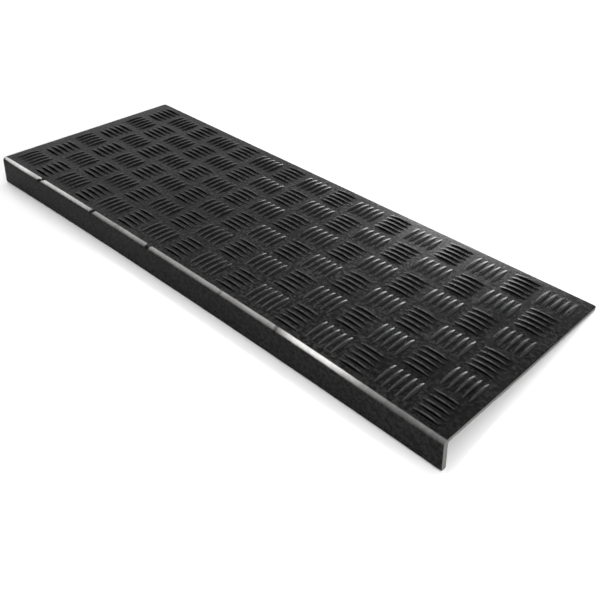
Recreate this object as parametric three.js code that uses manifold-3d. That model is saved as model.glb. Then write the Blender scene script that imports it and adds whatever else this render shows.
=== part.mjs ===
// Anti slip stair tread mat: one moulded rubber sheet with a lip that hooks over the stair's nose.
// The top face carries a chequered field of bar groups, and the nose between the sheet and the lip
// is rounded. Millimetres. X runs along the stair, Y towards the riser behind the tread, Z up.
// The origin is the middle of the sheet's underside.
import * as THREE from 'three';
import { ConvexGeometry } from 'three/addons/geometries/ConvexGeometry.js';
import { mergeGeometries, mergeVertices } from 'three/addons/utils/BufferGeometryUtils.js';
import Module from 'manifold-3d';

const wasm = await Module();
wasm.setup();

// Sheet and lip
const LENGTH = 650;
const DEPTH = 250; // from the front of the lip to the back edge
const SHEET_THICKNESS = 3.5;
const LIP_HEIGHT = 33; // from the sheet's top face to the foot of the lip
const LIP_THICKNESS = 6;
const NOSE_RADIUS = 4.5; // outside, where the top face turns into the lip
const HEEL_RADIUS = 2; // inside, where the underside turns into the lip
const FOOT_RADIUS = 1; // both edges of the lip's foot
const BACK_CORNER_RADIUS = 3; // the two back corners, seen from above
const ARC_FACETS = 6; // on each rounded edge

// Bar groups: square cells in which the bars lie along X or along Y by turns
const CELL_PITCH = 39.5;
const PLAIN_BORDER = 4; // the least plain sheet between the cells and the sheet's edge or the nose
const FIELD_SETBACK = 1.25; // the field's middle lies this far behind the middle of the sheet
const BARS_PER_GROUP = 5;
const BAR_PITCH = 7.5;
const BAR_LENGTH = 31;
const BAR_WIDTH = 4;
const BAR_HEIGHT = 2;
const BAR_FULLNESS = 2.5; // how far the width holds before it tapers: 2 is a plain lens
const BAR_WAIST = 0.28; // where the outline's corners lie, as a share of the length
const CROWN_LENGTH = 19; // the narrow flat along the top of a bar
const CROWN_WIDTH = 1.8;
const BAR_ROOT = 1; // how far a bar reaches down into the sheet that it is moulded with

// Nicks worn into the nose, by their distance from the left end
const NICK_PLACES = [77, 177, 274];
const NICK_WIDTH = 6;
const NICK_DEPTH = 1;
const CUT_CLEARANCE = 1; // how far a cutting body stands out of what it cuts

const WELD_DISTANCE = 1e-4; // points closer than this are one point

const BACK = DEPTH / 2;
const FRONT = -DEPTH / 2;
const TOP = SHEET_THICKNESS;
const FOOT = TOP - LIP_HEIGHT;

function toSolid(geometry) {
  const bare = geometry.clone();
  bare.deleteAttribute('normal');
  bare.deleteAttribute('uv');
  const merged = mergeVertices(bare, WELD_DISTANCE);
  return new wasm.Manifold(
    new wasm.Mesh({
      numProp: 3,
      vertProperties: new Float32Array(merged.attributes.position.array),
      triVerts: new Uint32Array(merged.index.array),
    }),
  );
}

function toGeometry(solid) {
  const mesh = solid.getMesh();
  const geometry = new THREE.BufferGeometry();
  geometry.setAttribute('position', new THREE.BufferAttribute(mesh.vertProperties, 3));
  geometry.setIndex(new THREE.BufferAttribute(mesh.triVerts, 1));
  const faceted = geometry.toNonIndexed();
  faceted.computeVertexNormals();
  return faceted;
}

// The section of sheet, nose and lip, drawn with Y across and Z up
function sectionShape() {
  const noseY = FRONT + NOSE_RADIUS;
  const innerY = FRONT + LIP_THICKNESS;
  const shape = new THREE.Shape();
  shape.moveTo(BACK, 0);
  shape.lineTo(BACK, TOP);
  shape.lineTo(noseY, TOP);
  shape.absarc(noseY, TOP - NOSE_RADIUS, NOSE_RADIUS, Math.PI / 2, Math.PI, false);
  shape.lineTo(FRONT, FOOT + FOOT_RADIUS);
  shape.absarc(FRONT + FOOT_RADIUS, FOOT + FOOT_RADIUS, FOOT_RADIUS, Math.PI, 1.5 * Math.PI, false);
  shape.lineTo(innerY - FOOT_RADIUS, FOOT);
  shape.absarc(innerY - FOOT_RADIUS, FOOT + FOOT_RADIUS, FOOT_RADIUS, 1.5 * Math.PI, 2 * Math.PI, false);
  shape.lineTo(innerY, -HEEL_RADIUS);
  shape.absarc(innerY + HEEL_RADIUS, -HEEL_RADIUS, HEEL_RADIUS, Math.PI, Math.PI / 2, true);
  shape.closePath();
  return shape;
}

// The outline from above: square at the lip, with rounded back corners
function planShape() {
  const half = LENGTH / 2;
  const radius = BACK_CORNER_RADIUS;
  const shape = new THREE.Shape();
  shape.moveTo(-half, FRONT - CUT_CLEARANCE);
  shape.lineTo(half, FRONT - CUT_CLEARANCE);
  shape.lineTo(half, BACK - radius);
  shape.absarc(half - radius, BACK - radius, radius, 0, Math.PI / 2, false);
  shape.lineTo(radius - half, BACK);
  shape.absarc(radius - half, BACK - radius, radius, Math.PI / 2, Math.PI, false);
  shape.closePath();
  return shape;
}

// A shape extruded by a length along `along`, centred on the origin, with its own axes laid on the
// directions `across` and `up`
function extruded(shape, length, across, up, along) {
  const geometry = new THREE.ExtrudeGeometry(shape, {
    depth: length,
    bevelEnabled: false,
    curveSegments: ARC_FACETS / 2, // an arc gets two facets for each
  });
  geometry.translate(0, 0, -length / 2);
  return geometry.applyMatrix4(new THREE.Matrix4().makeBasis(across, up, along));
}

const X = new THREE.Vector3(1, 0, 0);
const Y = new THREE.Vector3(0, 1, 0);
const Z = new THREE.Vector3(0, 0, 1);

function bentSheet() {
  const section = extruded(sectionShape(), LENGTH + 2 * CUT_CLEARANCE, Y, Z, X);
  const plan = extruded(planShape(), 2 * (LIP_HEIGHT + CUT_CLEARANCE), X, Y, Z);
  return toSolid(section).intersect(toSolid(plan));
}

// Half the width of a bar at a distance from its middle, at the foot where it meets the sheet
function barHalfWidth(distance) {
  return (BAR_WIDTH / 2) * (1 - Math.abs((2 * distance) / BAR_LENGTH) ** BAR_FULLNESS);
}

// One bar along X: a lens outline with pointed ends that rises to a narrow crown
function barGeometry() {
  const points = [];
  for (const share of [-0.5, -BAR_WAIST, 0, BAR_WAIST, 0.5]) {
    const x = share * BAR_LENGTH;
    const halfWidth = barHalfWidth(x);
    for (const y of halfWidth > 0 ? [-halfWidth, halfWidth] : [0]) {
      points.push(new THREE.Vector3(x, y, 0), new THREE.Vector3(x, y, -BAR_ROOT));
    }
  }
  for (const x of [-CROWN_LENGTH / 2, CROWN_LENGTH / 2]) {
    for (const y of [-CROWN_WIDTH / 2, CROWN_WIDTH / 2]) {
      points.push(new THREE.Vector3(x, y, BAR_HEIGHT));
    }
  }
  return new ConvexGeometry(points);
}

// The middles of as many cells as fit in a length, spread evenly about the middle
function cellPlaces(room) {
  const count = Math.floor(room / CELL_PITCH);
  return Array.from({ length: count }, (_, i) => (i - (count - 1) / 2) * CELL_PITCH);
}

// All bars of the field, each standing on the sheet's top face
function barField() {
  const bar = barGeometry();
  const bars = [];
  const columns = cellPlaces(LENGTH - 2 * PLAIN_BORDER);
  const rows = cellPlaces(DEPTH - NOSE_RADIUS - 2 * PLAIN_BORDER);
  rows.forEach((cellY, row) => {
    columns.forEach((cellX, column) => {
      const turned = (row + column) % 2 === 0;
      for (let i = 0; i < BARS_PER_GROUP; i++) {
        const offset = (i - (BARS_PER_GROUP - 1) / 2) * BAR_PITCH;
        const placed = bar.clone();
        placed.translate(0, offset, 0);
        if (turned) {
          placed.rotateZ(Math.PI / 2);
        }
        placed.translate(cellX, FIELD_SETBACK + cellY, TOP);
        bars.push(placed);
      }
    });
  });
  return toSolid(mergeGeometries(bars));
}

// V cuts across the nose, square to the middle of its round
function nickCutters() {
  const outward = new THREE.Vector3(0, -1, 1).normalize();
  const across = new THREE.Vector3().crossVectors(X, outward);
  const reach = 1 + CUT_CLEARANCE / NICK_DEPTH;
  const shape = new THREE.Shape();
  shape.moveTo(0, -NICK_DEPTH);
  shape.lineTo((reach * NICK_WIDTH) / 2, CUT_CLEARANCE);
  shape.lineTo((-reach * NICK_WIDTH) / 2, CUT_CLEARANCE);
  shape.closePath();
  const cutters = NICK_PLACES.map((place) => {
    const cutter = extruded(shape, 2 * NOSE_RADIUS, X, outward, across);
    const crest = new THREE.Vector3(place - LENGTH / 2, FRONT + NOSE_RADIUS, TOP - NOSE_RADIUS);
    crest.addScaledVector(outward, NOSE_RADIUS);
    return cutter.translate(crest.x, crest.y, crest.z);
  });
  return toSolid(mergeGeometries(cutters));
}

const rubber = new THREE.MeshStandardMaterial({ color: 0x1d1d1d, roughness: 0.62, metalness: 0 });

const treadMat = new THREE.Mesh(toGeometry(bentSheet().subtract(nickCutters()).add(barField())), rubber);
treadMat.name = 'tread_mat';

const group = new THREE.Group();
group.add(treadMat);

export default group;
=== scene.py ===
"""Stair tread mat: a black rubber sheet with a chequered field of raised bars and a front lip.
Blender 4.5, metres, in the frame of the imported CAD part, whose sizes the looks are built on."""
import math

import bmesh
import bpy
import numpy as np
from bpy.props import FloatProperty, FloatVectorProperty, IntProperty, PointerProperty
from mathutils import Matrix, Vector, noise
from mathutils.geometry import delaunay_2d_cdt


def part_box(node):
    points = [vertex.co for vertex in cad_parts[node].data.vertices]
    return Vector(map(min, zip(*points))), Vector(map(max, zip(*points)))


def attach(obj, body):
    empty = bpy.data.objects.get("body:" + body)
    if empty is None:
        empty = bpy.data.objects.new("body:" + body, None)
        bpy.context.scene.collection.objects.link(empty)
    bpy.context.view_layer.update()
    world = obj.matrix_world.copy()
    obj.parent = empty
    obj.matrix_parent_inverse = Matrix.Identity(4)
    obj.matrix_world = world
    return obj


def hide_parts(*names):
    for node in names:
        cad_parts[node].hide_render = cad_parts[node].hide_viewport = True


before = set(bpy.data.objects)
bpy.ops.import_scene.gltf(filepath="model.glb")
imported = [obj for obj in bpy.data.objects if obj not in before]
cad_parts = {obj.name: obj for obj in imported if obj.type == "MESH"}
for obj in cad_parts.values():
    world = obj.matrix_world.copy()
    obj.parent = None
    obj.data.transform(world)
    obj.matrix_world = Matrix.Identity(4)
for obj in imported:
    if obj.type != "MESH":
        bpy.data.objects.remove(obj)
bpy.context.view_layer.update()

bl_info = {
    "name": "Stair tread mat",
    "version": (1, 0, 0),
    "blender": (4, 5, 0),
    "location": "3D View > Sidebar > Tread mat",
    "description": "Builds a rubber stair tread mat with raised bars, and a studio to show it in",
    "category": "Add Mesh",
}

MAT_LOW, MAT_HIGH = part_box("tread_mat")
MILLIMETRE = 0.001
WELD_DISTANCE = 0.002 * MILLIMETRE  # points closer than this are one point
SENSOR_WIDTH = 36  # of the camera, in millimetres, as Blender wants it


class TreadMatForm(bpy.types.PropertyGroup):
    """Sizes of the mat. Its overall sizes come from the CAD part."""

    length: FloatProperty(
        name="Length", description="Along the step", unit="LENGTH",
        default=MAT_HIGH.x - MAT_LOW.x, min=0.1,
    )
    depth: FloatProperty(
        name="Depth", description="From the lip's front to the back edge", unit="LENGTH",
        default=MAT_HIGH.y - MAT_LOW.y, min=0.1,
    )
    sheet_thickness: FloatProperty(
        name="Sheet thickness", description="Of the plain sheet between the bars", unit="LENGTH",
        default=3.5 * MILLIMETRE, min=1 * MILLIMETRE,
    )
    lip_thickness: FloatProperty(
        name="Lip thickness", description="Of the lip that hangs over the step", unit="LENGTH",
        default=6 * MILLIMETRE, min=2 * MILLIMETRE,
    )
    nose_radius: FloatProperty(
        name="Nose radius", description="Outside round between the top and the lip", unit="LENGTH",
        default=4.5 * MILLIMETRE, min=0.5 * MILLIMETRE,
    )
    heel_radius: FloatProperty(
        name="Heel radius", description="Inside round between the underside and the lip", unit="LENGTH",
        default=2 * MILLIMETRE, min=0.5 * MILLIMETRE,
    )
    foot_radius: FloatProperty(
        name="Foot radius", description="Rounds along the foot of the lip", unit="LENGTH",
        default=1 * MILLIMETRE, min=0.2 * MILLIMETRE,
    )
    corner_radius: FloatProperty(
        name="Corner radius", description="The two back corners, seen from above", unit="LENGTH",
        default=3 * MILLIMETRE, min=0.5 * MILLIMETRE,
    )
    edge_round: FloatProperty(
        name="Edge round", description="Softening of every sharp edge", unit="LENGTH",
        default=0.4 * MILLIMETRE, min=0.05 * MILLIMETRE,
    )
    cell_pitch: FloatProperty(
        name="Cell pitch", description="From one group of bars to the next", unit="LENGTH",
        default=39.5 * MILLIMETRE, min=10 * MILLIMETRE,
    )
    plain_border: FloatProperty(
        name="Plain border", description="Least plain sheet around the field of bars", unit="LENGTH",
        default=4 * MILLIMETRE, min=0,
    )
    field_setback: FloatProperty(
        name="Field setback", description="How far behind the middle the field of bars lies",
        unit="LENGTH", default=1.25 * MILLIMETRE,
    )
    bars_per_group: IntProperty(
        name="Bars in a group", description="Raised bars side by side in each cell", default=5, min=1,
    )
    bar_pitch: FloatProperty(
        name="Bar pitch", description="From one bar to the next in its group", unit="LENGTH",
        default=7.5 * MILLIMETRE, min=2 * MILLIMETRE,
    )
    bar_length: FloatProperty(
        name="Bar length", description="From tip to tip", unit="LENGTH",
        default=31 * MILLIMETRE, min=5 * MILLIMETRE,
    )
    bar_width: FloatProperty(
        name="Bar width", description="At the foot, in the middle of a bar", unit="LENGTH",
        default=4.6 * MILLIMETRE, min=1 * MILLIMETRE,
    )
    crown_width: FloatProperty(
        name="Crown width", description="Of the flat along the top of a bar", unit="LENGTH",
        default=2.1 * MILLIMETRE, min=0.2 * MILLIMETRE,
    )
    front_bow: FloatProperty(
        name="Front bow", description="How far the soft front edge is bowed back in its middle",
        unit="LENGTH", default=3.5 * MILLIMETRE,
    )
    end_sag: FloatProperty(
        name="End sag", description="How far the soft sheet hangs down at its right end", unit="LENGTH",
        default=3 * MILLIMETRE,
    )
    end_pull: FloatProperty(
        name="End pull", description="How far the nose is drawn in at its right end", unit="LENGTH",
        default=3 * MILLIMETRE,
    )


class RubberFinish(bpy.types.PropertyGroup):
    """Colours and gloss of the rubber."""

    rubber: FloatVectorProperty(
        name="Rubber", description="Clean moulded rubber", subtype="COLOR", size=3,
        default=(0.001, 0.001, 0.001), min=0, max=1,
    )
    dust: FloatVectorProperty(
        name="Dust", description="Pale bloom that mottles the rubber", subtype="COLOR", size=3,
        default=(0.033, 0.033, 0.0335), min=0, max=1,
    )
    # Painted light: a paler tone, a painted highlight on the bars' crowns and painted reflection on the
    # lip's front
    painted_crown_and_lip_light: FloatVectorProperty(
        name="Painted_crown_and_lip_light", description="Crowns of the bars, where feet have rubbed them", subtype="COLOR",
        size=3, default=(0.037, 0.037, 0.0375), min=0, max=1,
    )
    # Painted highlight: this near-white tone along the nose stands in for the softboxes' reflection
    nose_highlight: FloatVectorProperty(
        name="Painted_nose_highlight", description="Rubber rubbed pale along the nose", subtype="COLOR", size=3,
        default=(0.84, 0.83, 0.81), min=0, max=1,
    )
    cut: FloatVectorProperty(
        name="Cut face", description="Ends where the mat was cut to length", subtype="COLOR", size=3,
        default=(0.1, 0.102, 0.096), min=0, max=1,
    )
    specular: FloatProperty(
        name="Specular", description="Strength of the gloss", subtype="FACTOR",
        default=0.16, min=0, max=1,
    )


class StudioSetup(bpy.types.PropertyGroup):
    """The camera, the lights and the floor."""

    camera_place: FloatVectorProperty(
        name="Camera place", description="Where the camera stands", subtype="XYZ", unit="LENGTH", size=3,
        default=(0.508, -0.5105, 0.4321),
    )
    camera_azimuth: FloatProperty(
        name="Camera azimuth", description="Turn from looking along +Y", subtype="ANGLE",
        default=math.radians(41.45),
    )
    camera_elevation: FloatProperty(
        name="Camera elevation", description="How steeply the camera looks down", subtype="ANGLE",
        default=math.radians(36.38),
    )
    camera_roll: FloatProperty(
        name="Camera roll", description="Turn about the line of sight", subtype="ANGLE",
        default=math.radians(3.09),
    )
    focal_length: FloatProperty(
        name="Focal length", description=f"For a sensor {SENSOR_WIDTH} mm wide",
        subtype="DISTANCE_CAMERA", default=46.22,
    )
    floor_tone: FloatProperty(
        name="Floor tone", description="The pale floor as the camera sees it", subtype="FACTOR",
        default=1.0, min=0, max=1,
    )
    floor_bounce: FloatProperty(
        name="Floor bounce", description="The floor's tone in reflections and in the light it sends back",
        subtype="FACTOR", default=0.4, min=0, max=1,
    )
    floor_gloss: FloatProperty(
        name="Floor gloss", description="Share of the floor's light that is mirrored softly",
        subtype="FACTOR", default=0.2, min=0, max=1,
    )
    floor_white: FloatProperty(
        name="Floor white", description="Share of plain white in the floor by the mat, for the camera",
        subtype="FACTOR", default=0.08, min=0, max=1,
    )


def arc(centre, radius, start, end, steps):
    """Points on an arc between two angles in degrees, both ends included."""
    angles = np.radians(np.linspace(start, end, steps + 1))
    return [(centre[0] + radius * math.cos(a), centre[1] + radius * math.sin(a)) for a in angles]


def stretch(start, end, step):
    """Points from start towards end, evenly spaced and no further apart than a step, without the end."""
    start, end = Vector(start), Vector(end)
    count = max(1, math.ceil((end - start).length / step))
    return [tuple(start.lerp(end, i / count)) for i in range(count)]


# How finely the sheet and its rounds are divided
NOSE_STEPS = 12
NOSE_MARGIN = 0.3 * MILLIMETRE  # beside the nose's round, where its wear has faded out
SMALL_ARC_STEPS = 4
CORNER_STEPS = 5
EDGE_STEPS = 3
SHARP_ANGLE = math.radians(55)  # an edge that turns by more than this is rounded
SKIN_STEP = 20 * MILLIMETRE  # the largest spacing of points on the plain faces


def section_outline(form):
    """The section of sheet, nose and lip as (y, z), from the back of the top face round the front."""
    back, front = form.depth / 2, -form.depth / 2
    top, foot = form.sheet_thickness, MAT_LOW.z
    nose, heel, toe = form.nose_radius, form.heel_radius, form.foot_radius
    inner = front + form.lip_thickness
    round_nose = arc((front + nose, top - nose), nose, 90, 180, NOSE_STEPS)
    corners = [
        [(back, top)],
        [(front + nose + NOSE_MARGIN, top), *round_nose, (front, top - nose - NOSE_MARGIN)],
        arc((front + toe, foot + toe), toe, 180, 270, SMALL_ARC_STEPS),
        arc((inner - toe, foot + toe), toe, 270, 360, SMALL_ARC_STEPS),
        arc((inner + heel, -heel), heel, 180, 90, SMALL_ARC_STEPS),
        [(back, 0)],
    ]
    outline = []
    for corner, following in zip(corners, corners[1:] + corners[:1]):
        outline += corner[:-1]
        outline += stretch(corner[-1], following[0], SKIN_STEP)
    return outline


# Nicks worn into the nose: place from the left end, width, depth, how far each leans along the
# nose from its lower to its upper side, and how much of its depth it keeps at the lower side
NICKS = (
    (79 * MILLIMETRE, 6.5 * MILLIMETRE, 1.3 * MILLIMETRE, 9 * MILLIMETRE, 0.5),
    (179 * MILLIMETRE, 6 * MILLIMETRE, 1.1 * MILLIMETRE, 3 * MILLIMETRE, 0.4),
    (276 * MILLIMETRE, 6.5 * MILLIMETRE, 0.8 * MILLIMETRE, 2.5 * MILLIMETRE, 0.3),
    (386 * MILLIMETRE, 4 * MILLIMETRE, 0.25 * MILLIMETRE, 0, 1),
    (461 * MILLIMETRE, 4 * MILLIMETRE, 0.4 * MILLIMETRE, -1 * MILLIMETRE, 1.5),
)
NICK_STATIONS = 26
NICK_REACH = 1.2  # how far the close stations go, as a share of a nick's width and lean
STATION_GAP = 2 * MILLIMETRE  # the least room between the close stations and the next even one


def length_stations(form):
    """Where the section stands along X: evenly, and close together around each nick."""
    half = form.length / 2
    inner = half - 2 * form.corner_radius
    places = list(np.linspace(-inner, inner, math.ceil(2 * inner / SKIN_STEP) + 1))
    for place, width, _, lean, _ in NICKS:
        reach = NICK_REACH * (width + abs(lean)) / 2
        middle = place - half
        places = [x for x in places if abs(x - middle) > reach + STATION_GAP]
        places += list(np.linspace(middle - reach, middle + reach, NICK_STATIONS + 1))
    return [-half, *sorted(places), half]


ROUND_PROFILE = 0.5  # the number of a plain round


def round_edges(bm, edges, radius, segments):
    """Rounds edges by a radius that stays the same even where two rounds come close."""
    bmesh.ops.bevel(
        bm, geom=edges, offset=radius, offset_type="OFFSET", segments=segments,
        profile=ROUND_PROFILE, affect="EDGES", clamp_overlap=False,
    )


def bent_sheet(form):
    """The sheet and lip without its bars: the section along X, with rounded corners and edges."""
    bm = bmesh.new()
    outline = section_outline(form)
    rings = [[bm.verts.new((x, y, z)) for y, z in outline] for x in length_stations(form)]
    for ring, following in zip(rings, rings[1:]):
        for i in range(len(outline)):
            j = (i + 1) % len(outline)
            bm.faces.new((ring[i], ring[j], following[j], following[i]))
    bm.faces.new(rings[0])
    bm.faces.new(rings[-1])
    bmesh.ops.recalc_face_normals(bm, faces=bm.faces)
    back, half = form.depth / 2, form.length / 2
    corner_places = (Vector((-half, back)), Vector((half, back)))
    corners = [
        e for e in bm.edges
        if any(all((v.co.xy - place).length < WELD_DISTANCE for v in e.verts) for place in corner_places)
    ]
    round_edges(bm, corners, form.corner_radius, CORNER_STEPS)
    sharp = [e for e in bm.edges if e.is_manifold and e.calc_face_angle() > SHARP_ANGLE]
    round_edges(bm, sharp, form.edge_round, EDGE_STEPS)
    return bm


def open_top(bm, top, front):
    """Takes away the flat top face behind a front line and returns the points round the gap, in order."""
    flat = [
        f for f in bm.faces
        if all(abs(v.co.z - top) < WELD_DISTANCE and v.co.y > front - WELD_DISTANCE for v in f.verts)
    ]
    bmesh.ops.delete(bm, geom=flat, context="FACES")
    rim = [e for e in bm.edges if e.is_boundary]
    neighbours = {}
    for edge in rim:
        for vert in edge.verts:
            neighbours.setdefault(vert, []).append(edge.other_vert(vert))
    first = rim[0].verts[0]
    loop = [first, neighbours[first][0]]
    while True:
        onward = [v for v in neighbours[loop[-1]] if v is not loop[-2]]
        if onward[0] is first:
            return loop
        loop.append(onward[0])


FILL_INSIDE = 1  # the triangulation keeps what lies inside the outer outline
FILL_NEARNESS = 1e-7  # points closer than this are one point to it


def flat_fill(outer, holes):
    """Triangles between an outline and the outlines inside it, as indices into all their points."""
    points, edges, owner = [], [], []
    for number, loop in enumerate((outer, *holes)):
        first = len(points)
        points += [Vector(p[:2]) for p in loop]
        edges += [(first + i, first + (i + 1) % len(loop)) for i in range(len(loop))]
        owner += [number] * len(loop)
    _, _, faces, source, _, _ = delaunay_2d_cdt(points, edges, [], FILL_INSIDE, FILL_NEARNESS)
    triangles = []
    for face in faces:
        corners = [source[i][0] for i in face]
        owners = {owner[c] for c in corners}
        in_a_hole = len(owners) == 1 and owners != {0}
        if not in_a_hole:
            triangles.append(corners)
    return triangles


# The shape of a bar
BAR_STEPS = 12  # along its length
BAR_ARCH = 2.1  # how the crown sinks towards both ends: 2 is a plain arch
BAR_END_POWER = 10  # how blunt the ends are, seen from above
SHOULDER_RADIUS = 0.3 * MILLIMETRE
SHOULDER_STEPS = 2
FOOT_FILLET = 0.25 * MILLIMETRE
# Painted shade beside a bar's foot: over the first length the sheet keeps no dust, so it renders
# darker, and over the second the dust grows as thick as elsewhere. Both have to end before the middle
# of the gap between two bars
SHADE_REACH = 0.6 * MILLIMETRE
SHADE_FADE = 0.5 * MILLIMETRE


def bar_section(form, height):
    """Half of the section in the middle of a bar, from the crown's middle to the sheet beside it.

    Each point is (y, z, bare), which is 1 on the steep parts and on the sheet by the foot: they keep no
    dust, as painted shade."""
    crown, foot = form.crown_width / 2, form.bar_width / 2
    flank = math.atan2(foot - crown, height)  # from upright
    turn = math.pi / 2 - flank
    reach = SHOULDER_RADIUS * math.tan(turn / 2)
    centre = (crown - reach, height - SHOULDER_RADIUS)
    shoulder = arc(centre, SHOULDER_RADIUS, 90, 90 - math.degrees(turn), SHOULDER_STEPS)
    rise = FOOT_FILLET / height
    root = (foot - (foot - crown) * rise, FOOT_FILLET)
    toe = foot + FOOT_FILLET
    top = [(0, height, 0), *[(y, z, i / SHOULDER_STEPS) for i, (y, z) in enumerate(shoulder)]]
    shade_end = toe + SHADE_REACH
    return [*top, (*root, 1), (toe, 0, 1), (shade_end, 0, 1), (shade_end + SHADE_FADE, 0, 0)]


def bar_mesh(form):
    """One bar along X on the plane z = 0: its points as (x, y, z, bare), its faces and its outline.

    The crown keeps its width and sinks towards both ends, where the flanks run out."""
    half_length, crown = form.bar_length / 2, form.crown_width / 2
    section = bar_section(form, MAT_HIGH.z - form.sheet_thickness)
    points, rows = [], []
    for i in range(1, BAR_STEPS):
        t = math.sin(math.pi * (i / BAR_STEPS - 0.5))
        rise = 1 - abs(t) ** BAR_ARCH
        end = math.sqrt(1 - abs(t) ** BAR_END_POWER)
        side = [
            (half_length * t, end * (min(y, crown) + rise * max(y - crown, 0)), rise * z, bare)
            for y, z, bare in section
        ]
        row = [(x, -y, z, bare) for x, y, z, bare in reversed(side)] + side[1:]
        rows.append(range(len(points), len(points) + len(row)))
        points += row
    tips = [len(points), len(points) + 1]
    points += [(-half_length, 0, 0, 1), (half_length, 0, 0, 1)]
    faces = []
    for row, following in zip(rows, rows[1:]):
        faces += [(row[i], following[i], following[i + 1], row[i + 1]) for i in range(len(row) - 1)]
    for tip, row in zip(tips, (rows[0], rows[-1][::-1])):
        faces += [(tip, row[i], row[i + 1]) for i in range(len(row) - 1)]
    foot = [tips[0], *[r[0] for r in rows], tips[1], *[r[-1] for r in reversed(rows)]]
    return points, faces, foot


CELL_SIDE_STEPS = 4
ROUNDING_ROOM = 1.001  # makes a step a hair too long, so that rounding never adds one


def rim_of_cells(form, half_x, half_y):
    """Points round a rectangle of whole cells about the origin, where the cells' own points lie."""
    corners = [(-half_x, -half_y), (half_x, -half_y), (half_x, half_y), (-half_x, half_y)]
    step = ROUNDING_ROOM * form.cell_pitch / CELL_SIDE_STEPS
    return [point for a, b in zip(corners, corners[1:] + corners[:1]) for point in stretch(a, b, step)]


def cell_mesh(form):
    """One cell of the field with bars along X: its points as (x, y, z, bare) and its faces."""
    half = form.cell_pitch / 2
    points = [(x, y, 0, 0) for x, y in rim_of_cells(form, half, half)]
    border = len(points)
    bar_points, bar_faces, foot = bar_mesh(form)
    faces, feet, names = [], [], list(range(border))
    for i in range(form.bars_per_group):
        offset = (i - (form.bars_per_group - 1) / 2) * form.bar_pitch
        first = len(points)
        points += [(x, y + offset, z, bare) for x, y, z, bare in bar_points]
        faces += [tuple(first + k for k in face) for face in bar_faces]
        feet.append([points[first + k] for k in foot])
        names += [first + k for k in foot]
    faces += [tuple(names[c] for c in corners) for corners in flat_fill(points[:border], feet)]
    return points, faces


def cell_places(room, pitch):
    """The middles of as many cells as fit in a length, spread evenly about its middle."""
    count = math.floor(room / pitch)
    return [(i - (count - 1) / 2) * pitch for i in range(count)]


def add_field(bm, form):
    """Puts the chequered field of bars and the plain border round it into the open top."""
    top = form.sheet_thickness
    columns = cell_places(form.length - 2 * form.plain_border, form.cell_pitch)
    rows = cell_places(form.depth - form.nose_radius - 2 * form.plain_border, form.cell_pitch)
    points, faces = cell_mesh(form)
    # Painted shade: the bars' flanks and the sheet by their feet keep no dust and render darker
    bare_layer = bm.verts.layers.float.new("bare")
    rim = open_top(bm, top, -form.depth / 2 + form.nose_radius + NOSE_MARGIN)
    for row, cell_y in enumerate(rows):
        for column, cell_x in enumerate(columns):
            turned = (row + column) % 2 == 0
            placed = [
                bm.verts.new((
                    cell_x + (-y if turned else x),
                    cell_y + form.field_setback + (x if turned else y),
                    top + z,
                ))
                for x, y, z, _ in points
            ]
            for vert, (*_, bare) in zip(placed, points):
                vert[bare_layer] = bare
            for face in faces:
                bm.faces.new([placed[k] for k in face])
    half_x, half_y = len(columns) * form.cell_pitch / 2, len(rows) * form.cell_pitch / 2
    field_rim = rim_of_cells(form, half_x, half_y)
    inner = [bm.verts.new((x, y + form.field_setback, top)) for x, y in field_rim]
    around = rim + inner
    for triangle in flat_fill([v.co for v in rim], [[v.co for v in inner]]):
        bm.faces.new([around[k] for k in triangle])
    bmesh.ops.remove_doubles(bm, verts=bm.verts, dist=WELD_DISTANCE)


def smooth_step(value, low, high):
    """0 up to a low value and 1 from a high one, with a soft rise between them."""
    share = min(max((value - low) / (high - low), 0), 1)
    return share * share * (3 - 2 * share)


def nose_share(form, y, z):
    """Where a point lies on the nose: 0 at its front, 1 at its top."""
    across = -form.depth / 2 + form.nose_radius - y
    up = z - form.sheet_thickness + form.nose_radius
    return math.atan2(up, across) / (math.pi / 2)


def on_nose(form, y, z):
    """True on the round of the nose, both its edges included."""
    front = -form.depth / 2 + form.nose_radius
    return y < front + WELD_DISTANCE and z > form.sheet_thickness - form.nose_radius - WELD_DISTANCE


RAGGED = 0.5  # how uneven the nicks' sides are, as a share of half their width
RAGS_ALONG = 900  # how closely the unevenness changes, per metre along the nose
RAGS_ROUND = 5  # and from the front to the top of the nose
NICK_FLATNESS = 4  # how flat the floor of a nick is before its sides rise
NICK_LOWER_END = 0.25  # below this share of the nose a nick has the depth of its lower side
NICK_UPPER_START = 0.6  # above this share it has its whole depth


def nick_shares(form, x, share):
    """For each nick how far inside it a point of the nose lies, 1 in its middle, with the nick."""
    ragged = RAGGED * noise.noise((x * RAGS_ALONG, share * RAGS_ROUND, 0))
    for nick in NICKS:
        place, width, _, lean, _ = nick
        along = (x + form.length / 2 - place - lean * (share - 0.5)) / (width / 2) + ragged
        if abs(along) < 1:
            yield 1 - along ** NICK_FLATNESS, nick


def nick_depth(form, point):
    """How deep the nicks reach at a point of the nose."""
    if not on_nose(form, point.y, point.z):
        return 0
    share = nose_share(form, point.y, point.z)
    depth = 0
    upper = smooth_step(share, NICK_LOWER_END, NICK_UPPER_START)
    for inside, (_, _, deepest, _, low_share) in nick_shares(form, point.x, share):
        depth += deepest * (low_share + (1 - low_share) * upper) * inside ** 2
    return depth


SAG_START = 0.35  # where the sag of the right end starts, as a share of half the length
SAG_FADE = 0.4  # where it starts to fade out towards the back edge, as a share of the depth
BOW_REACH = 0.6  # how far back the bow of the front edge is felt, as a share of the depth
PULL_REACH = 25 * MILLIMETRE  # how far from the ends the nose is drawn in
LEFT_PULL = 0.7  # how much of that the left end has


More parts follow.
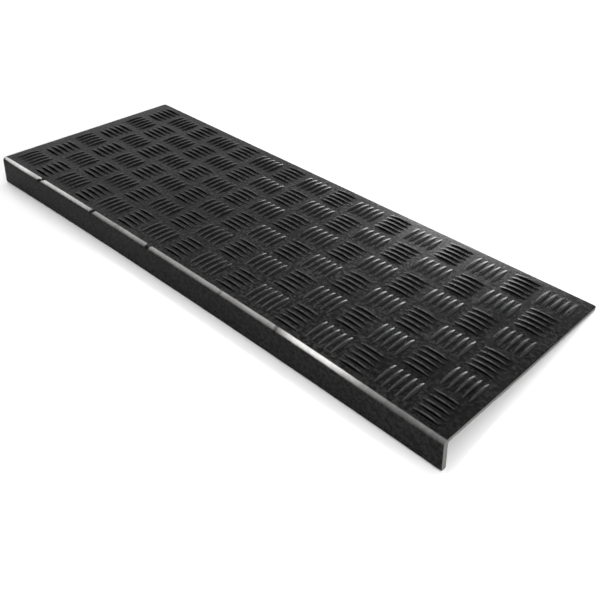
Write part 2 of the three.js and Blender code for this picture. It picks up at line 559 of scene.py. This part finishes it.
def shape_soft_rubber(bm, form):
    """Wears the nicks into the nose and lets the soft sheet lie a little out of true."""
    half, front = form.length / 2, -form.depth / 2
    centre = Vector((0, front + form.nose_radius, form.sheet_thickness - form.nose_radius))
    for vert in bm.verts:
        point = vert.co
        depth = nick_depth(form, point)
        if depth > 0:
            inward = Vector((0, centre.y - point.y, centre.z - point.z)).normalized()
            point += depth * inward
        back_share = (point.y - front) / form.depth
        across = 1 - (point.x / half) ** 2
        point.y += form.front_bow * across * (1 - smooth_step(back_share, 0, BOW_REACH))
        above_foot = min(1, (point.z - MAT_LOW.z) / (form.sheet_thickness - MAT_LOW.z))
        end = smooth_step(point.x / half, SAG_START, 1)
        point.z -= form.end_sag * end * above_foot * (1 - smooth_step(back_share, SAG_FADE, 1))
        pull = form.end_pull * above_foot * (1 - back_share)
        point.x -= pull * smooth_step(point.x, half - PULL_REACH, half)
        point.x += LEFT_PULL * pull * smooth_step(-point.x, half - PULL_REACH, half)


# The painted highlight along the nose, which stands in for the softboxes' reflection: the distance
# from its left end, how pale it is there, where its lower edge lies as a share of the nose's round,
# from 0 at the front to 1 at the top, and how softly that edge ends
NOSE_HIGHLIGHT = (
    (0 * MILLIMETRE, 0.5, 0.55, 0.15),
    (9 * MILLIMETRE, 1.0, 0.35, 0.15),
    (40 * MILLIMETRE, 0.95, 0.3, 0.15),
    (70 * MILLIMETRE, 0.75, 0.3, 0.15),
    (130 * MILLIMETRE, 0.72, 0.35, 0.15),
    (170 * MILLIMETRE, 0.5, 0.35, 0.15),
    (190 * MILLIMETRE, 0.34, 0.3, 0.2),
    (470 * MILLIMETRE, 0.34, 0.25, 0.2),
    (486 * MILLIMETRE, 1.0, 0.25, 0.15),
    (532 * MILLIMETRE, 1.0, 0.25, 0.15),
    (552 * MILLIMETRE, 0.4, 0.25, 0.25),
    (575 * MILLIMETRE, 0.17, 0.2, 0.25),
    (650 * MILLIMETRE, 0.14, 0.2, 0.25),
)
BAND_TOP = 0.95  # where its upper edge lies
BAND_TOP_FADE = 0.08
UNEVEN = 0.35  # how much the painted highlight varies
UNEVEN_ALONG = 45  # how closely it varies, per metre along the nose
UNEVEN_ROUND = 1.5  # and from the front to the top of the nose
UNEVEN_SEED = 3
NICK_RIM = 0.4  # how far inside a nick the painted highlight on its rim ends
DARK_DEPTH = 0.8 * MILLIMETRE  # how deep a nick is that stays quite dark
UPWARD_POWER = 4  # how fast the dust thins out where the surface turns away from straight up
LIP_FACING = 0.9  # how nearly a face has to point forwards to be the lip's front
LIP_PAINTED_LIGHT = 0.62  # how much paler the lip's front is painted, as painted reflection, where 1 is as pale as the crowns of the bars
RIGHT_FRONT_SHADE = 0.65  # how much darker the right front corner is painted, as painted shade, by laying less dust there
RIGHT_FRONT_SHADE_FROM = 0.45  # where that painted shade starts to the right, as a share of half the length
RIGHT_FRONT_SHADE_BACK = 0.7  # how far behind the middle it starts to thin the dust towards the front, in mat depths


def nose_highlight_share(form, x, y, z):
    """How strongly the highlight is painted on the nose at a point, without the nicks, which stay dark.
    """
    share = nose_share(form, y, z)
    places, *profile = zip(*NOSE_HIGHLIGHT)
    pale, low, soft = (float(np.interp(x + form.length / 2, places, values)) for values in profile)
    rubbed = pale * (1 + UNEVEN * noise.noise((x * UNEVEN_ALONG, share * UNEVEN_ROUND, UNEVEN_SEED)))
    rubbed *= smooth_step(share, low - soft, low + soft)
    rubbed *= 1 - smooth_step(share, BAND_TOP - BAND_TOP_FADE, BAND_TOP + BAND_TOP_FADE)
    for inside, (_, _, deepest, _, _) in nick_shares(form, x, share):
        rubbed *= 1 - min(1, deepest / DARK_DEPTH) * smooth_step(inside, 0, NICK_RIM)
    return rubbed


def clipped(values):
    """Values held between 0 and 1."""
    return np.clip(values, 0, 1)


def read_vectors(items, name):
    """A property of all items of a collection, one row of three numbers for each."""
    values = np.zeros(len(items) * 3)
    items.foreach_get(name, values)
    return values.reshape(-1, 3)


def write_masks(mesh, form):
    """Point attributes that the rubber's shader reads, besides the painted shade on the bars and by their
    feet.
    """
    points = read_vectors(mesh.vertices, "co")
    x, y, z = points.T
    _, back_facing, up_facing = read_vectors(mesh.vertex_normals, "vector").T
    half = form.length / 2
    in_front = y < -form.depth / 2 + form.nose_radius
    # Painted shade: less dust towards the right front corner, which renders darker there
    to_the_right = clipped((x / half - RIGHT_FRONT_SHADE_FROM) / (1 - RIGHT_FRONT_SHADE_FROM))
    right_front_shade = to_the_right * clipped(RIGHT_FRONT_SHADE_BACK - y / form.depth)
    bar_share = clipped((z - form.sheet_thickness) / (MAT_HIGH.z - form.sheet_thickness))
    top_dust_with_painted_shade = clipped(up_facing) ** UPWARD_POWER * (1 - RIGHT_FRONT_SHADE * right_front_shade)
    masks = {
        # crown: paler with a bar's height as a painted highlight; the lip's front gets a fixed share as
        # painted reflection
        "crown": np.where(in_front & (back_facing < -LIP_FACING), LIP_PAINTED_LIGHT, bar_share),
        "dust_with_painted_shade": np.where(in_front, clipped(-back_facing), 0) + top_dust_with_painted_shade,
        # nose: where the highlight is painted along the nose
        "nose": [nose_highlight_share(form, *p) if on_nose(form, p[1], p[2]) else 0 for p in points],
        "cut_end": clipped(1 - (half - np.abs(x)) / form.edge_round),
    }
    for name, values in masks.items():
        attribute = mesh.attributes.new(name, "FLOAT", "POINT")
        attribute.data.foreach_set("value", np.asarray(values, dtype=np.float32))


def mat_mesh(form):
    """The whole mat as one mesh: made straight, given its masks, then nicked and shaped as soft rubber.
    """
    mesh = bpy.data.meshes.new("rubber_mat")
    bm = bent_sheet(form)
    add_field(bm, form)
    bmesh.ops.recalc_face_normals(bm, faces=bm.faces)
    bm.to_mesh(mesh)
    bm.free()
    write_masks(mesh, form)
    bm = bmesh.new()
    bm.from_mesh(mesh)
    shape_soft_rubber(bm, form)
    bm.to_mesh(mesh)
    bm.free()
    mesh.shade_smooth()
    return mesh


class NodeTree:
    """Adds nodes to a tree: the inputs are given by name, as a value or as another node's socket."""

    def __init__(self, tree):
        self.tree = tree
        tree.nodes.clear()

    def add(self, kind, inputs=None, **settings):
        """A new node with its inputs and settings."""
        node = self.tree.nodes.new(kind)
        for name, value in settings.items():
            setattr(node, name, value)
        for name, value in (inputs or {}).items():
            if isinstance(value, bpy.types.NodeSocket):
                self.tree.links.new(value, node.inputs[name])
            else:
                node.inputs[name].default_value = value
        return node

    def noise(self, where, scale, detail, roughness):
        """A noise pattern whose scale is per metre."""
        node = self.add(
            "ShaderNodeTexNoise",
            {"Vector": where, "Scale": scale, "Detail": detail, "Roughness": roughness},
        )
        return node.outputs["Fac"]

    def remap(self, value, low, high, to_low=0.0, to_high=1.0):
        """A value moved from one range to another, and held inside it."""
        node = self.add(
            "ShaderNodeMapRange",
            {"Value": value, "From Min": low, "From Max": high, "To Min": to_low, "To Max": to_high},
        )
        return node.outputs["Result"]

    def maths(self, operation, first, second):
        """The result of one operation on two values."""
        return self.add("ShaderNodeMath", {0: first, 1: second}, operation=operation).outputs[0]

    def product(self, first, *others):
        """All the values multiplied, in the order given."""
        for other in others:
            first = self.maths("MULTIPLY", first, other)
        return first


def blend_colours(nodes, factor, first, second):
    """Mixes two colours, each given as a socket or as red, green and blue."""
    node = nodes.tree.nodes.new("ShaderNodeMix")
    node.data_type = "RGBA"
    for name, value in (("Factor_Float", factor), ("A_Color", first), ("B_Color", second)):
        socket = next(s for s in node.inputs if s.identifier == name)
        if isinstance(value, bpy.types.NodeSocket):
            nodes.tree.links.new(value, socket)
        else:
            socket.default_value = value if name == "Factor_Float" else (*value, 1.0)
    return next(s for s in node.outputs if s.identifier == "Result_Color")


# The rubber's noise patterns, each as its scale per metre, detail and roughness
PATCHES = (14, 5, 0.6)
SMUDGES = (260, 5, 0.65)
GRAIN = (1400, 3, 0.6)
# How a pattern or mask acts on a look, each as the range it is read in and the range it becomes
PATCHES_ON_DUST = (0.35, 0.68, 0.3, 1.0)
SMUDGES_ON_DUST = (0.4, 0.6, 0.0, 1.0)
CROWN_ON_PAINTED_LIGHT = (0.3, 1.0, 0.0, 1.0)
SMUDGES_ON_PAINTED_LIGHT = (0.35, 0.65, 0.2, 1.0)
SMUDGES_ON_NOSE = (0.25, 0.75, 0.75, 1.0)
GRAIN_ON_CUT = (0.3, 0.7, 0.8, 1.0)
SMUDGES_ON_ROUGHNESS = (0.3, 0.7, 0.2, 0.27)
CROWN_ROUGHNESS = 0.07  # how much rougher the crowns of the bars are, and the lip's front by its share
BUMP_HEIGHT = 0.05 * MILLIMETRE
GRAIN_BUMP = 0.4  # the grain's share of it
SMUDGE_BUMP = 1.4  # the smudges' share of it


def rubber_material(finish):
    """Matt moulded rubber: mottled bloom, fine grain, paler cut ends, painted highlights and shade."""
    material = bpy.data.materials.new("rubber")
    material.use_nodes = True
    nodes = NodeTree(material.node_tree)
    where = nodes.add("ShaderNodeTexCoord").outputs["Object"]
    masks = {
        name: nodes.add("ShaderNodeAttribute", attribute_name=name).outputs["Fac"]
        for name in ("crown", "dust_with_painted_shade", "bare", "nose", "cut_end")
    }
    patches = nodes.noise(where, *PATCHES)
    smudges = nodes.noise(where, *SMUDGES)
    grain = nodes.noise(where, *GRAIN)
    # Painted shade: no dust and no paler tone on the bars' flanks and the sheet by their feet
    outside_painted_shade = nodes.maths("SUBTRACT", 1.0, masks["bare"])
    # Dust on faces that look up or forwards, kept off the painted shade and thinned as painted shade at
    # the right front
    dust = nodes.product(
        masks["dust_with_painted_shade"], outside_painted_shade,
        nodes.remap(patches, *PATCHES_ON_DUST), nodes.remap(smudges, *SMUDGES_ON_DUST),
    )
    # Painted highlight on the crowns, by their height, and painted reflection on the lip's front
    painted_light = nodes.product(
        nodes.remap(masks["crown"], *CROWN_ON_PAINTED_LIGHT), outside_painted_shade, nodes.remap(smudges, *SMUDGES_ON_PAINTED_LIGHT),
    )
    # Painted highlight along the nose, standing in for the softboxes' reflection
    rubbed = nodes.product(masks["nose"], nodes.remap(smudges, *SMUDGES_ON_NOSE))
    sawn = nodes.product(masks["cut_end"], nodes.remap(grain, *GRAIN_ON_CUT))
    tone = blend_colours(nodes, dust, finish.rubber, finish.dust)
    tone = blend_colours(nodes, painted_light, tone, finish.painted_crown_and_lip_light)
    tone = blend_colours(nodes, rubbed, tone, finish.nose_highlight)
    tone = blend_colours(nodes, sawn, tone, finish.cut)
    rough_crown = nodes.product(masks["crown"], CROWN_ROUGHNESS)
    roughness = nodes.maths("ADD", nodes.remap(smudges, *SMUDGES_ON_ROUGHNESS), rough_crown)
    height = nodes.maths("ADD", nodes.product(grain, GRAIN_BUMP), nodes.product(smudges, SMUDGE_BUMP))
    bump = nodes.add("ShaderNodeBump", {"Strength": 1.0, "Distance": BUMP_HEIGHT, "Height": height})
    surface = nodes.add(
        "ShaderNodeBsdfPrincipled",
        {
            "Base Color": tone,
            "Roughness": roughness,
            "Specular IOR Level": finish.specular,
            "Normal": bump.outputs["Normal"],
        },
    )
    nodes.add("ShaderNodeOutputMaterial", {"Surface": surface.outputs["BSDF"]})
    return material


class TREADMAT_OT_mat(bpy.types.Operator):
    """Build the rubber mat in place of its plain CAD solid"""

    bl_idname = "treadmat.mat"
    bl_label = "Build mat"

    def execute(self, context):
        mesh = mat_mesh(context.scene.tread_mat_form)
        mesh.materials.append(rubber_material(context.scene.tread_mat_finish))
        mat = bpy.data.objects.new("rubber_mat", mesh)
        context.scene.collection.objects.link(mat)
        mat.modifiers.new("even_shading", "WEIGHTED_NORMAL")
        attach(mat, "root")
        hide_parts("tread_mat")
        return {"FINISHED"}


POLISH_ROUGHNESS = 0.17
WHITE = (1, 1, 1, 1)
WHITE_FROM = 0.5  # how far from the middle of the mat's back edge the floor starts to turn plain white
WHITE_BY = 1.0  # where it is all white


def mix_shaders(nodes, share, first, second):
    """A shader that is the first one, with a share of the second one in it."""
    return nodes.add("ShaderNodeMixShader", {0: share, 1: first.outputs[0], 2: second.outputs[0]})


def stage_white(nodes, setup):
    """A floor that keeps the shadows round the mat and turns plain white for the camera farther out."""
    seen = nodes.add("ShaderNodeLightPath").outputs["Is Camera Ray"]
    tone = nodes.remap(seen, 0, 1, setup.floor_bounce, setup.floor_tone)
    lit = nodes.add("ShaderNodeBsdfDiffuse", {"Color": tone})
    polish = nodes.add("ShaderNodeBsdfGlossy", {"Color": WHITE, "Roughness": POLISH_ROUGHNESS})
    floor = mix_shaders(nodes, setup.floor_gloss, lit, polish)
    white = nodes.add("ShaderNodeEmission", {"Strength": 1.0})
    where = nodes.add("ShaderNodeTexCoord").outputs["Object"]
    away = nodes.add("ShaderNodeVectorMath", {0: where}, operation="LENGTH").outputs["Value"]
    share = nodes.product(seen, nodes.remap(away, WHITE_FROM, WHITE_BY, setup.floor_white, 1.0))
    nodes.add("ShaderNodeOutputMaterial", {"Surface": mix_shaders(nodes, share, floor, white).outputs[0]})


FLOOR_SIZE = 40
FLOOR_GAP = 0.05 * MILLIMETRE  # between the floor and the mat


def add_floor(form, setup):
    """The pale floor that the mat lies on with its back edge and the foot of its lip."""
    toe = form.foot_radius
    run = form.depth - form.lip_thickness + toe
    drop = -MAT_LOW.z - toe
    tilt = math.atan2(drop, run) + math.asin(toe / math.hypot(run, drop))
    mesh = bpy.data.meshes.new("floor")
    half = FLOOR_SIZE / 2
    corners = [(-half, -half, 0), (half, -half, 0), (half, half, 0), (-half, half, 0)]
    mesh.from_pydata(corners, [], [(0, 1, 2, 3)])
    floor = bpy.data.objects.new("floor", mesh)
    bpy.context.scene.collection.objects.link(floor)
    floor.rotation_euler = (tilt, 0, 0)
    floor.location = (0, form.depth / 2, -FLOOR_GAP)
    material = bpy.data.materials.new("pale_floor")
    material.use_nodes = True
    stage_white(NodeTree(material.node_tree), setup)
    mesh.materials.append(material)


# The softboxes: name, place, aim and size in metres, power in watts, and whether they are mirrored
LAMPS = (
    ("overhead", (-0.37, 0.08, 1.5), (-0.37, 0.08, 0), (2.7, 1.5), 35.5, True),
    ("back_strip", (-0.62, 1.38, 0.32), (0, 0, 0), (0.85, 0.26), 6, True),
    ("back_box", (-0.38, 1.28, 0.52), (0.1, 0, 0), (0.5, 0.2), 4.6, True),
    ("side_strip", (1.57, 1.17, 0.45), (0, 0, 0), (0.95, 0.6), 3.5, True),
    ("right_box", (1.6, -0.3, 0.5), (0.3, 0, 0), (1.2, 0.85), 31, False),
)


def add_lamp(name, place, aim, size, power, mirrored):
    """A softbox: a rectangular lamp at a place that faces its aim and that the camera doesn't see."""
    lamp = bpy.data.lights.new(name, "AREA")
    lamp.shape = "RECTANGLE"
    lamp.size, lamp.size_y = size
    lamp.energy = power
    holder = bpy.data.objects.new(name, lamp)
    bpy.context.scene.collection.objects.link(holder)
    holder.location = place
    holder.rotation_mode = "QUATERNION"
    holder.rotation_quaternion = (Vector(aim) - Vector(place)).to_track_quat("-Z", "Y")
    holder.visible_camera = False
    holder.visible_glossy = mirrored


# The room's light by direction, each as the range of the direction and the light at its two ends
BEHIND = (-0.3, 0.8, 0.0, 1.0)  # from the front to behind the mat
NEAR_FLOOR = (0.64, 0.37, 0.24, 1.0)  # from high up to low down
TO_THE_LEFT = (-0.9, -0.65, 1.4, 1.0)  # from the far left inwards
ROOM_LIGHT = 0.95


def add_world():
    """Soft light from a bright backdrop low behind the mat, and plain white for the camera."""
    world = bpy.data.worlds.new("studio_room")
    bpy.context.scene.world = world
    world.use_nodes = True
    nodes = NodeTree(world.node_tree)
    direction = nodes.add("ShaderNodeTexCoord").outputs["Generated"]
    parts = nodes.add("ShaderNodeSeparateXYZ", {"Vector": direction})
    room = nodes.product(
        nodes.remap(parts.outputs["Y"], *BEHIND),
        nodes.remap(parts.outputs["Z"], *NEAR_FLOOR),
        nodes.remap(parts.outputs["X"], *TO_THE_LEFT),
        ROOM_LIGHT,
    )
    seen = nodes.add("ShaderNodeLightPath").outputs["Is Camera Ray"]
    strength = nodes.maths("MAXIMUM", room, seen)
    back = nodes.add("ShaderNodeBackground", {"Color": WHITE, "Strength": strength})
    nodes.add("ShaderNodeOutputWorld", {"Surface": back.outputs[0]})


def add_camera(setup):
    """The camera, turned from looking along +Y by its azimuth, elevation and roll."""
    data = bpy.data.cameras.new("camera")
    data.sensor_width = SENSOR_WIDTH
    data.lens = setup.focal_length
    camera = bpy.data.objects.new("camera", data)
    bpy.context.scene.collection.objects.link(camera)
    turn = (
        Matrix.Rotation(setup.camera_azimuth, 4, "Z")
        @ Matrix.Rotation(math.pi / 2 - setup.camera_elevation, 4, "X")
        @ Matrix.Rotation(setup.camera_roll, 4, "Z")
    )
    camera.matrix_world = Matrix.Translation(setup.camera_place) @ turn
    bpy.context.scene.camera = camera


class TREADMAT_OT_stage(bpy.types.Operator):
    """Set up the pale floor, the soft lights and the camera"""

    bl_idname = "treadmat.stage"
    bl_label = "Set up studio"

    def execute(self, context):
        form = context.scene.tread_mat_form
        setup = context.scene.tread_mat_studio
        add_floor(form, setup)
        add_world()
        add_camera(setup)
        for lamp in LAMPS:
            add_lamp(*lamp)
        context.scene.view_settings.view_transform = "Standard"
        return {"FINISHED"}


class TREADMAT_PT_panel(bpy.types.Panel):
    """The mat's sizes, finish and studio, with a button for each part"""

    bl_idname = "TREADMAT_PT_panel"
    bl_label = "Stair tread mat"
    bl_space_type = "VIEW_3D"
    bl_region_type = "UI"
    bl_category = "Tread mat"

    def draw(self, context):
        for title, group, operator in (
            ("Mat", context.scene.tread_mat_form, TREADMAT_OT_mat.bl_idname),
            ("Rubber", context.scene.tread_mat_finish, None),
            ("Studio", context.scene.tread_mat_studio, TREADMAT_OT_stage.bl_idname),
        ):
            box = self.layout.box()
            box.label(text=title)
            for name in group.bl_rna.properties.keys():
                if name not in ("rna_type", "name"):
                    box.prop(group, name)
            if operator:
                box.operator(operator)


CLASSES = (
    TreadMatForm, RubberFinish, StudioSetup, TREADMAT_OT_mat, TREADMAT_OT_stage, TREADMAT_PT_panel,
)


def register():
    for cls in CLASSES:
        bpy.utils.register_class(cls)
    bpy.types.Scene.tread_mat_form = PointerProperty(type=TreadMatForm)
    bpy.types.Scene.tread_mat_finish = PointerProperty(type=RubberFinish)
    bpy.types.Scene.tread_mat_studio = PointerProperty(type=StudioSetup)


def unregister():
    del bpy.types.Scene.tread_mat_form
    del bpy.types.Scene.tread_mat_finish
    del bpy.types.Scene.tread_mat_studio
    for cls in reversed(CLASSES):
        bpy.utils.unregister_class(cls)


def main():
    """Builds the mat and its studio."""
    register()
    bpy.ops.treadmat.mat()
    bpy.ops.treadmat.stage()


if __name__ == "__main__":
    main()
